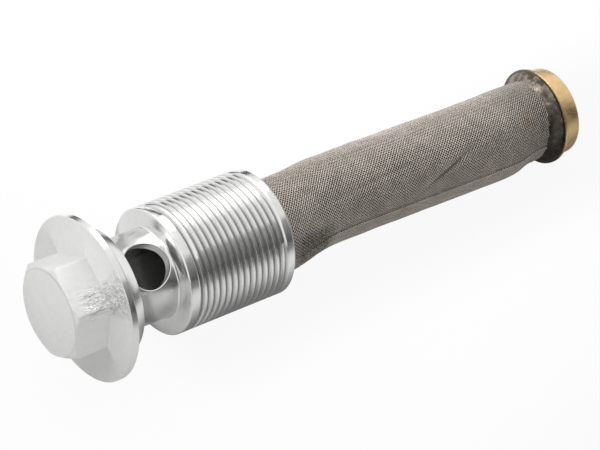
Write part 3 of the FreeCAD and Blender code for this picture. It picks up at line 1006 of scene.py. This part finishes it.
class OILFILTER_OT_cap(bpy.types.Operator):
    """Turn the brass cap with softened edges"""

    bl_idname = "oil_filter.cap"
    bl_label = "Brass cap"

    def execute(self, context):
        sizes = context.scene.oil_filter_cap
        lip_back = CAP_LIP_X + CAP_LIP_THICKNESS
        foot = (CAP_LIP_X, CAP_SPIGOT_RADIUS)
        front, back = (CAP_LIP_X, CAP_LIP_RADIUS), (lip_back, CAP_LIP_RADIUS)
        band_start, band_end = (lip_back, CAP_BAND_RADIUS), (CAP_END_X, CAP_BAND_RADIUS)
        spigot_x, floor_x, pole = CAP_LIP_X - CAP_SPIGOT_LENGTH, CAP_END_X - CAP_END_THICKNESS, 0.001
        profile = [(spigot_x, CAP_HOLLOW_RADIUS), (spigot_x, CAP_SPIGOT_RADIUS), foot]
        profile += rounded(foot, front, back, CAP_LIP_ROUNDINGS[0])
        profile += rounded(front, back, band_start, CAP_LIP_ROUNDINGS[1])
        profile += [band_start]
        profile += rounded(band_start, band_end, (CAP_END_X, 0.0), sizes.edge_round / MM)
        profile += [(CAP_END_X, pole), (floor_x, pole), (floor_x, CAP_HOLLOW_RADIUS)]
        mesh = turned_mesh("turned_cap", profile, 160)
        mesh.transform(PLACEMENT @ Matrix.Translation(cap_offset()))
        shade(mesh, 40)
        material = turned_brass(sizes.brass, [1.2 * c for c in sizes.solder])
        finish_piece(link("turned_cap", mesh), material, "cap", "cap")
        return {"FINISHED"}


class OILFILTER_OT_solder(bpy.types.Operator):
    """Run the lumpy solder fillet between gauze and cap, and finish the ring in the bolt's socket"""

    bl_idname = "oil_filter.solder"
    bl_label = "Solder"

    def execute(self, context):
        sizes = context.scene.oil_filter_cap
        material = soft_solder(sizes.solder)
        lumps = sizes.lumps / MM

        def lumpy(number, x, radius, angle):
            lean = math.cos(angle - math.radians(END_SKEW_ANGLE))
            start = TUBE_END_X + END_SKEW * lean - SOLDER_ON_GAUZE
            top = max(0.0, math.cos(angle - math.radians(SOLDER_TOP_ANGLE)))
            if number > SOLDER_STEPS:
                return (start if number == SOLDER_STEPS + 2 else SOLDER_END_X), SOLDER_INNER_RADIUS
            share = number / SOLDER_STEPS
            fill = 1.7 + 4.0 * (1.0 - top)
            crest = SOLDER_CREST_RADIUS + SOLDER_TOP_RISE * top
            place = start + (SOLDER_END_X - start) * share
            wave = noise_at(Vector((place * 0.55, math.cos(angle) * 4.0, math.sin(angle) * 4.0)))
            reach = SOLDER_THIN_RADIUS + (crest - SOLDER_THIN_RADIUS) * share**fill
            reach += lumps * wave * math.sin(math.pi * min(1.0, 0.15 + share))
            return place, min(reach, SOLDER_LARGEST_RADIUS)

        mesh = turned_mesh("cap_solder_fillet", [(0.0, 0.0)] * (SOLDER_STEPS + 3), 144, lumpy)
        mesh.transform(PLACEMENT @ Matrix.Translation(cap_offset()))
        shade(mesh, 60)
        finish_piece(link("cap_solder_fillet", mesh), material, "cap_solder", "cap_solder")
        ring = frame["nodes"]["socket_solder"].data
        ring.materials.clear()
        ring.materials.append(material)
        return {"FINISHED"}


def flat_square(name, half_size):
    """Flat square about the origin."""
    work = bmesh.new()
    bmesh.ops.create_grid(work, x_segments=1, y_segments=1, size=half_size)
    mesh = bpy.data.meshes.new(name)
    work.to_mesh(mesh)
    work.free()
    return link(name, mesh)


def bare_material(name):
    """Material with an empty tree, and the maker of its nodes."""
    material = bpy.data.materials.new(name)
    material.use_nodes = True
    material.node_tree.nodes.clear()
    return material, TreeMaker(material.node_tree)


def grey(maker, level):
    """Grey of a level from 0 to 1."""
    return maker.node("ShaderNodeCombineColor", {0: level, 1: level, 2: level}).outputs[0]


def panel(name, azimuth, elevation, distance, width, height, low, high):
    """Card turned to the part that only mirrors see, dark at its foot and lighter at its top."""
    card = flat_square(name, 0.5)
    direction = Vector(
        (
            math.cos(math.radians(azimuth)) * math.cos(math.radians(elevation)),
            math.sin(math.radians(azimuth)) * math.cos(math.radians(elevation)),
            math.sin(math.radians(elevation)),
        )
    )
    card.matrix_world = (
        Matrix.Translation(direction * distance)
        @ direction.to_track_quat("Z", "Y").to_matrix().to_4x4()
        @ Matrix.Diagonal((width, height, 1.0, 1.0))
    )
    material, maker = bare_material(name)
    across, up = maker.split(maker.node("ShaderNodeTexCoord").outputs["Object"])[:2]
    level = maker.ramp(up, -0.5, 0.5, low, high)
    edge_x = maker.ramp(maker.math("ABSOLUTE", across), 0.5, 0.32)
    edge_y = maker.ramp(maker.math("ABSOLUTE", up), 0.5, 0.38)
    glow = maker.node("ShaderNodeEmission", {"Color": grey(maker, level), "Strength": 1.0})
    clear = maker.node("ShaderNodeBsdfTransparent")
    mixed = maker.node(
        "ShaderNodeMixShader", {0: maker.product(edge_x, edge_y), 1: clear.outputs[0], 2: glow.outputs[0]}
    )
    maker.node("ShaderNodeOutputMaterial", {"Surface": mixed.outputs[0]})
    card.data.materials.append(material)
    card.visible_camera = False
    card.visible_diffuse = False
    card.visible_shadow = False
    card.visible_transmission = False


class OILFILTER_OT_stage(bpy.types.Operator):
    """Lay the pale floor, set the soft light and place the camera"""

    bl_idname = "oil_filter.stage"
    bl_label = "Stage, light and camera"

    def execute(self, context):
        settings = context.scene.oil_filter_stage
        self.lay_floor(settings)
        self.set_world(context, settings)
        self.set_lights(settings)
        self.place_camera(context)
        context.scene.view_settings.view_transform = "Standard"
        return {"FINISHED"}

    def lay_floor(self, settings):
        """Large white floor that keeps a faint shadow; mirrors see painted shade on it, darker by the head
        and nearby.
        """
        floor = flat_square("floor", 3.0)
        material, maker = bare_material("floor")
        x, y = maker.split(maker.node("ShaderNodeTexCoord").outputs["Object"])[:2]
        nearer = maker.less(maker.product(x, 0.34), maker.product(y, 0.94))
        # Painted shade for mirrors: a painted shadow under the part, and darker past the head and towards
        # the camera
        shaded = maker.ramp(maker.math("ABSOLUTE", y), *FLOOR_ASIDE, 0.36, 1.0)
        tone = maker.product(
            maker.ramp(x, *FLOOR_PAST_HEAD, 0.75 * settings.floor, settings.floor),
            maker.ramp(nearer, *FLOOR_FAR, 1.0, 0.8),
            maker.ramp(nearer, *FLOOR_NEAR, 1.0, 0.25),
            maker.ramp(x, *FLOOR_BY_HEX, 1.0, shaded),
        )
        colour = grey(maker, tone)
        lit = maker.node("ShaderNodeBsdfDiffuse", {"Color": colour})
        backlit = maker.node("ShaderNodeEmission", {"Color": colour, "Strength": 0.97})
        soft = maker.node("ShaderNodeMixShader", {0: 0.5, 1: lit.outputs[0], 2: backlit.outputs[0]})
        glow = maker.node("ShaderNodeEmission", {"Color": (1.0, 1.0, 1.0, 1.0), "Strength": 1.0})
        seen = maker.node("ShaderNodeLightPath").outputs["Is Camera Ray"]
        mixed = maker.node(
            "ShaderNodeMixShader", {0: maker.product(seen, 0.92), 1: soft.outputs[0], 2: glow.outputs[0]}
        )
        maker.node("ShaderNodeOutputMaterial", {"Surface": mixed.outputs[0]})
        floor.data.materials.append(material)

    def set_world(self, context, settings):
        """White surround, plain white where the camera looks past the floor."""
        world = bpy.data.worlds.new("surround")
        context.scene.world = world
        world.use_nodes = True
        world.node_tree.nodes.clear()
        maker = TreeMaker(world.node_tree)
        seen = maker.node("ShaderNodeLightPath").outputs["Is Camera Ray"]
        level = maker.ramp(seen, 0.0, 1.0, settings.surround, 1.0, "LINEAR")
        sky = maker.node("ShaderNodeBackground", {"Color": (1.0, 1.0, 1.0, 1.0), "Strength": level})
        maker.node("ShaderNodeOutputWorld", {"Surface": sky.outputs[0]})

    def set_lights(self, settings):
        """Soft overhead light and the grey cards that shade the plating."""
        light = bpy.data.lights.new("key", "AREA")
        light.energy = settings.key
        light.shape = "RECTANGLE"
        light.size, light.size_y = KEY_SIZE
        lamp = bpy.data.objects.new("key", light)
        bpy.context.scene.collection.objects.link(lamp)
        lamp.location = KEY_PLACE
        lamp.rotation_euler = (-lamp.location).to_track_quat("-Z", "Y").to_euler()
        for name, card in CARDS.items():
            panel(name, *card)

    def place_camera(self, context):
        """Long lens at the photograph's angle."""
        lens = bpy.data.cameras.new("camera")
        lens.lens = CAMERA_LENS
        lens.sensor_width = CAMERA_SENSOR
        lens.clip_start = 0.05
        lens.clip_end = 20.0
        camera = bpy.data.objects.new("camera", lens)
        context.scene.collection.objects.link(camera)
        looks = Euler((math.radians(90.0 - CAMERA_DOWN), 0.0, math.radians(CAMERA_HEADING - 90.0)))
        roll = Matrix.Rotation(math.radians(CAMERA_ROLL), 4, "Z")
        in_part = Matrix.Translation(CAMERA_PLACE) @ looks.to_matrix().to_4x4() @ roll
        place, turn = (PLACEMENT @ in_part).decompose()[:2]
        camera.matrix_world = Matrix.Translation(place) @ turn.to_matrix().to_4x4()
        context.scene.camera = camera


class OILFILTER_PT_panel(bpy.types.Panel):
    """Lists the pieces of the oil tank filter"""

    bl_idname = "OILFILTER_PT_panel"
    bl_label = "Oil tank filter"
    bl_space_type = "VIEW_3D"
    bl_region_type = "UI"
    bl_category = "Oil filter"

    def draw(self, context):
        layout = self.layout
        for operator in OPERATORS:
            layout.operator(operator.bl_idname)
        for group in GROUPS.values():
            settings = getattr(context.scene, group)
            for name in settings.bl_rna.properties.keys():
                if name not in ("rna_type", "name"):
                    layout.prop(settings, name)


OPERATORS = (
    OILFILTER_OT_bolt,
    OILFILTER_OT_gauze,
    OILFILTER_OT_cap,
    OILFILTER_OT_solder,
    OILFILTER_OT_stage,
)
GROUPS = {
    OILFILTER_PG_thread: "oil_filter_thread",
    OILFILTER_PG_gauze: "oil_filter_gauze",
    OILFILTER_PG_cap: "oil_filter_cap",
    OILFILTER_PG_stage: "oil_filter_stage",
}


def register():
    for group, name in GROUPS.items():
        bpy.utils.register_class(group)
        setattr(bpy.types.Scene, name, bpy.props.PointerProperty(type=group))
    for operator in OPERATORS:
        bpy.utils.register_class(operator)
    bpy.utils.register_class(OILFILTER_PT_panel)


def unregister():
    bpy.utils.unregister_class(OILFILTER_PT_panel)
    for operator in reversed(OPERATORS):
        bpy.utils.unregister_class(operator)
    for group, name in GROUPS.items():
        delattr(bpy.types.Scene, name)
        bpy.utils.unregister_class(group)


def main():
    """Make every piece."""
    register()
    bpy.ops.oil_filter.bolt()
    bpy.ops.oil_filter.gauze()
    bpy.ops.oil_filter.cap()
    bpy.ops.oil_filter.solder()
    bpy.ops.oil_filter.stage()


if __name__ == "__main__":
    main()
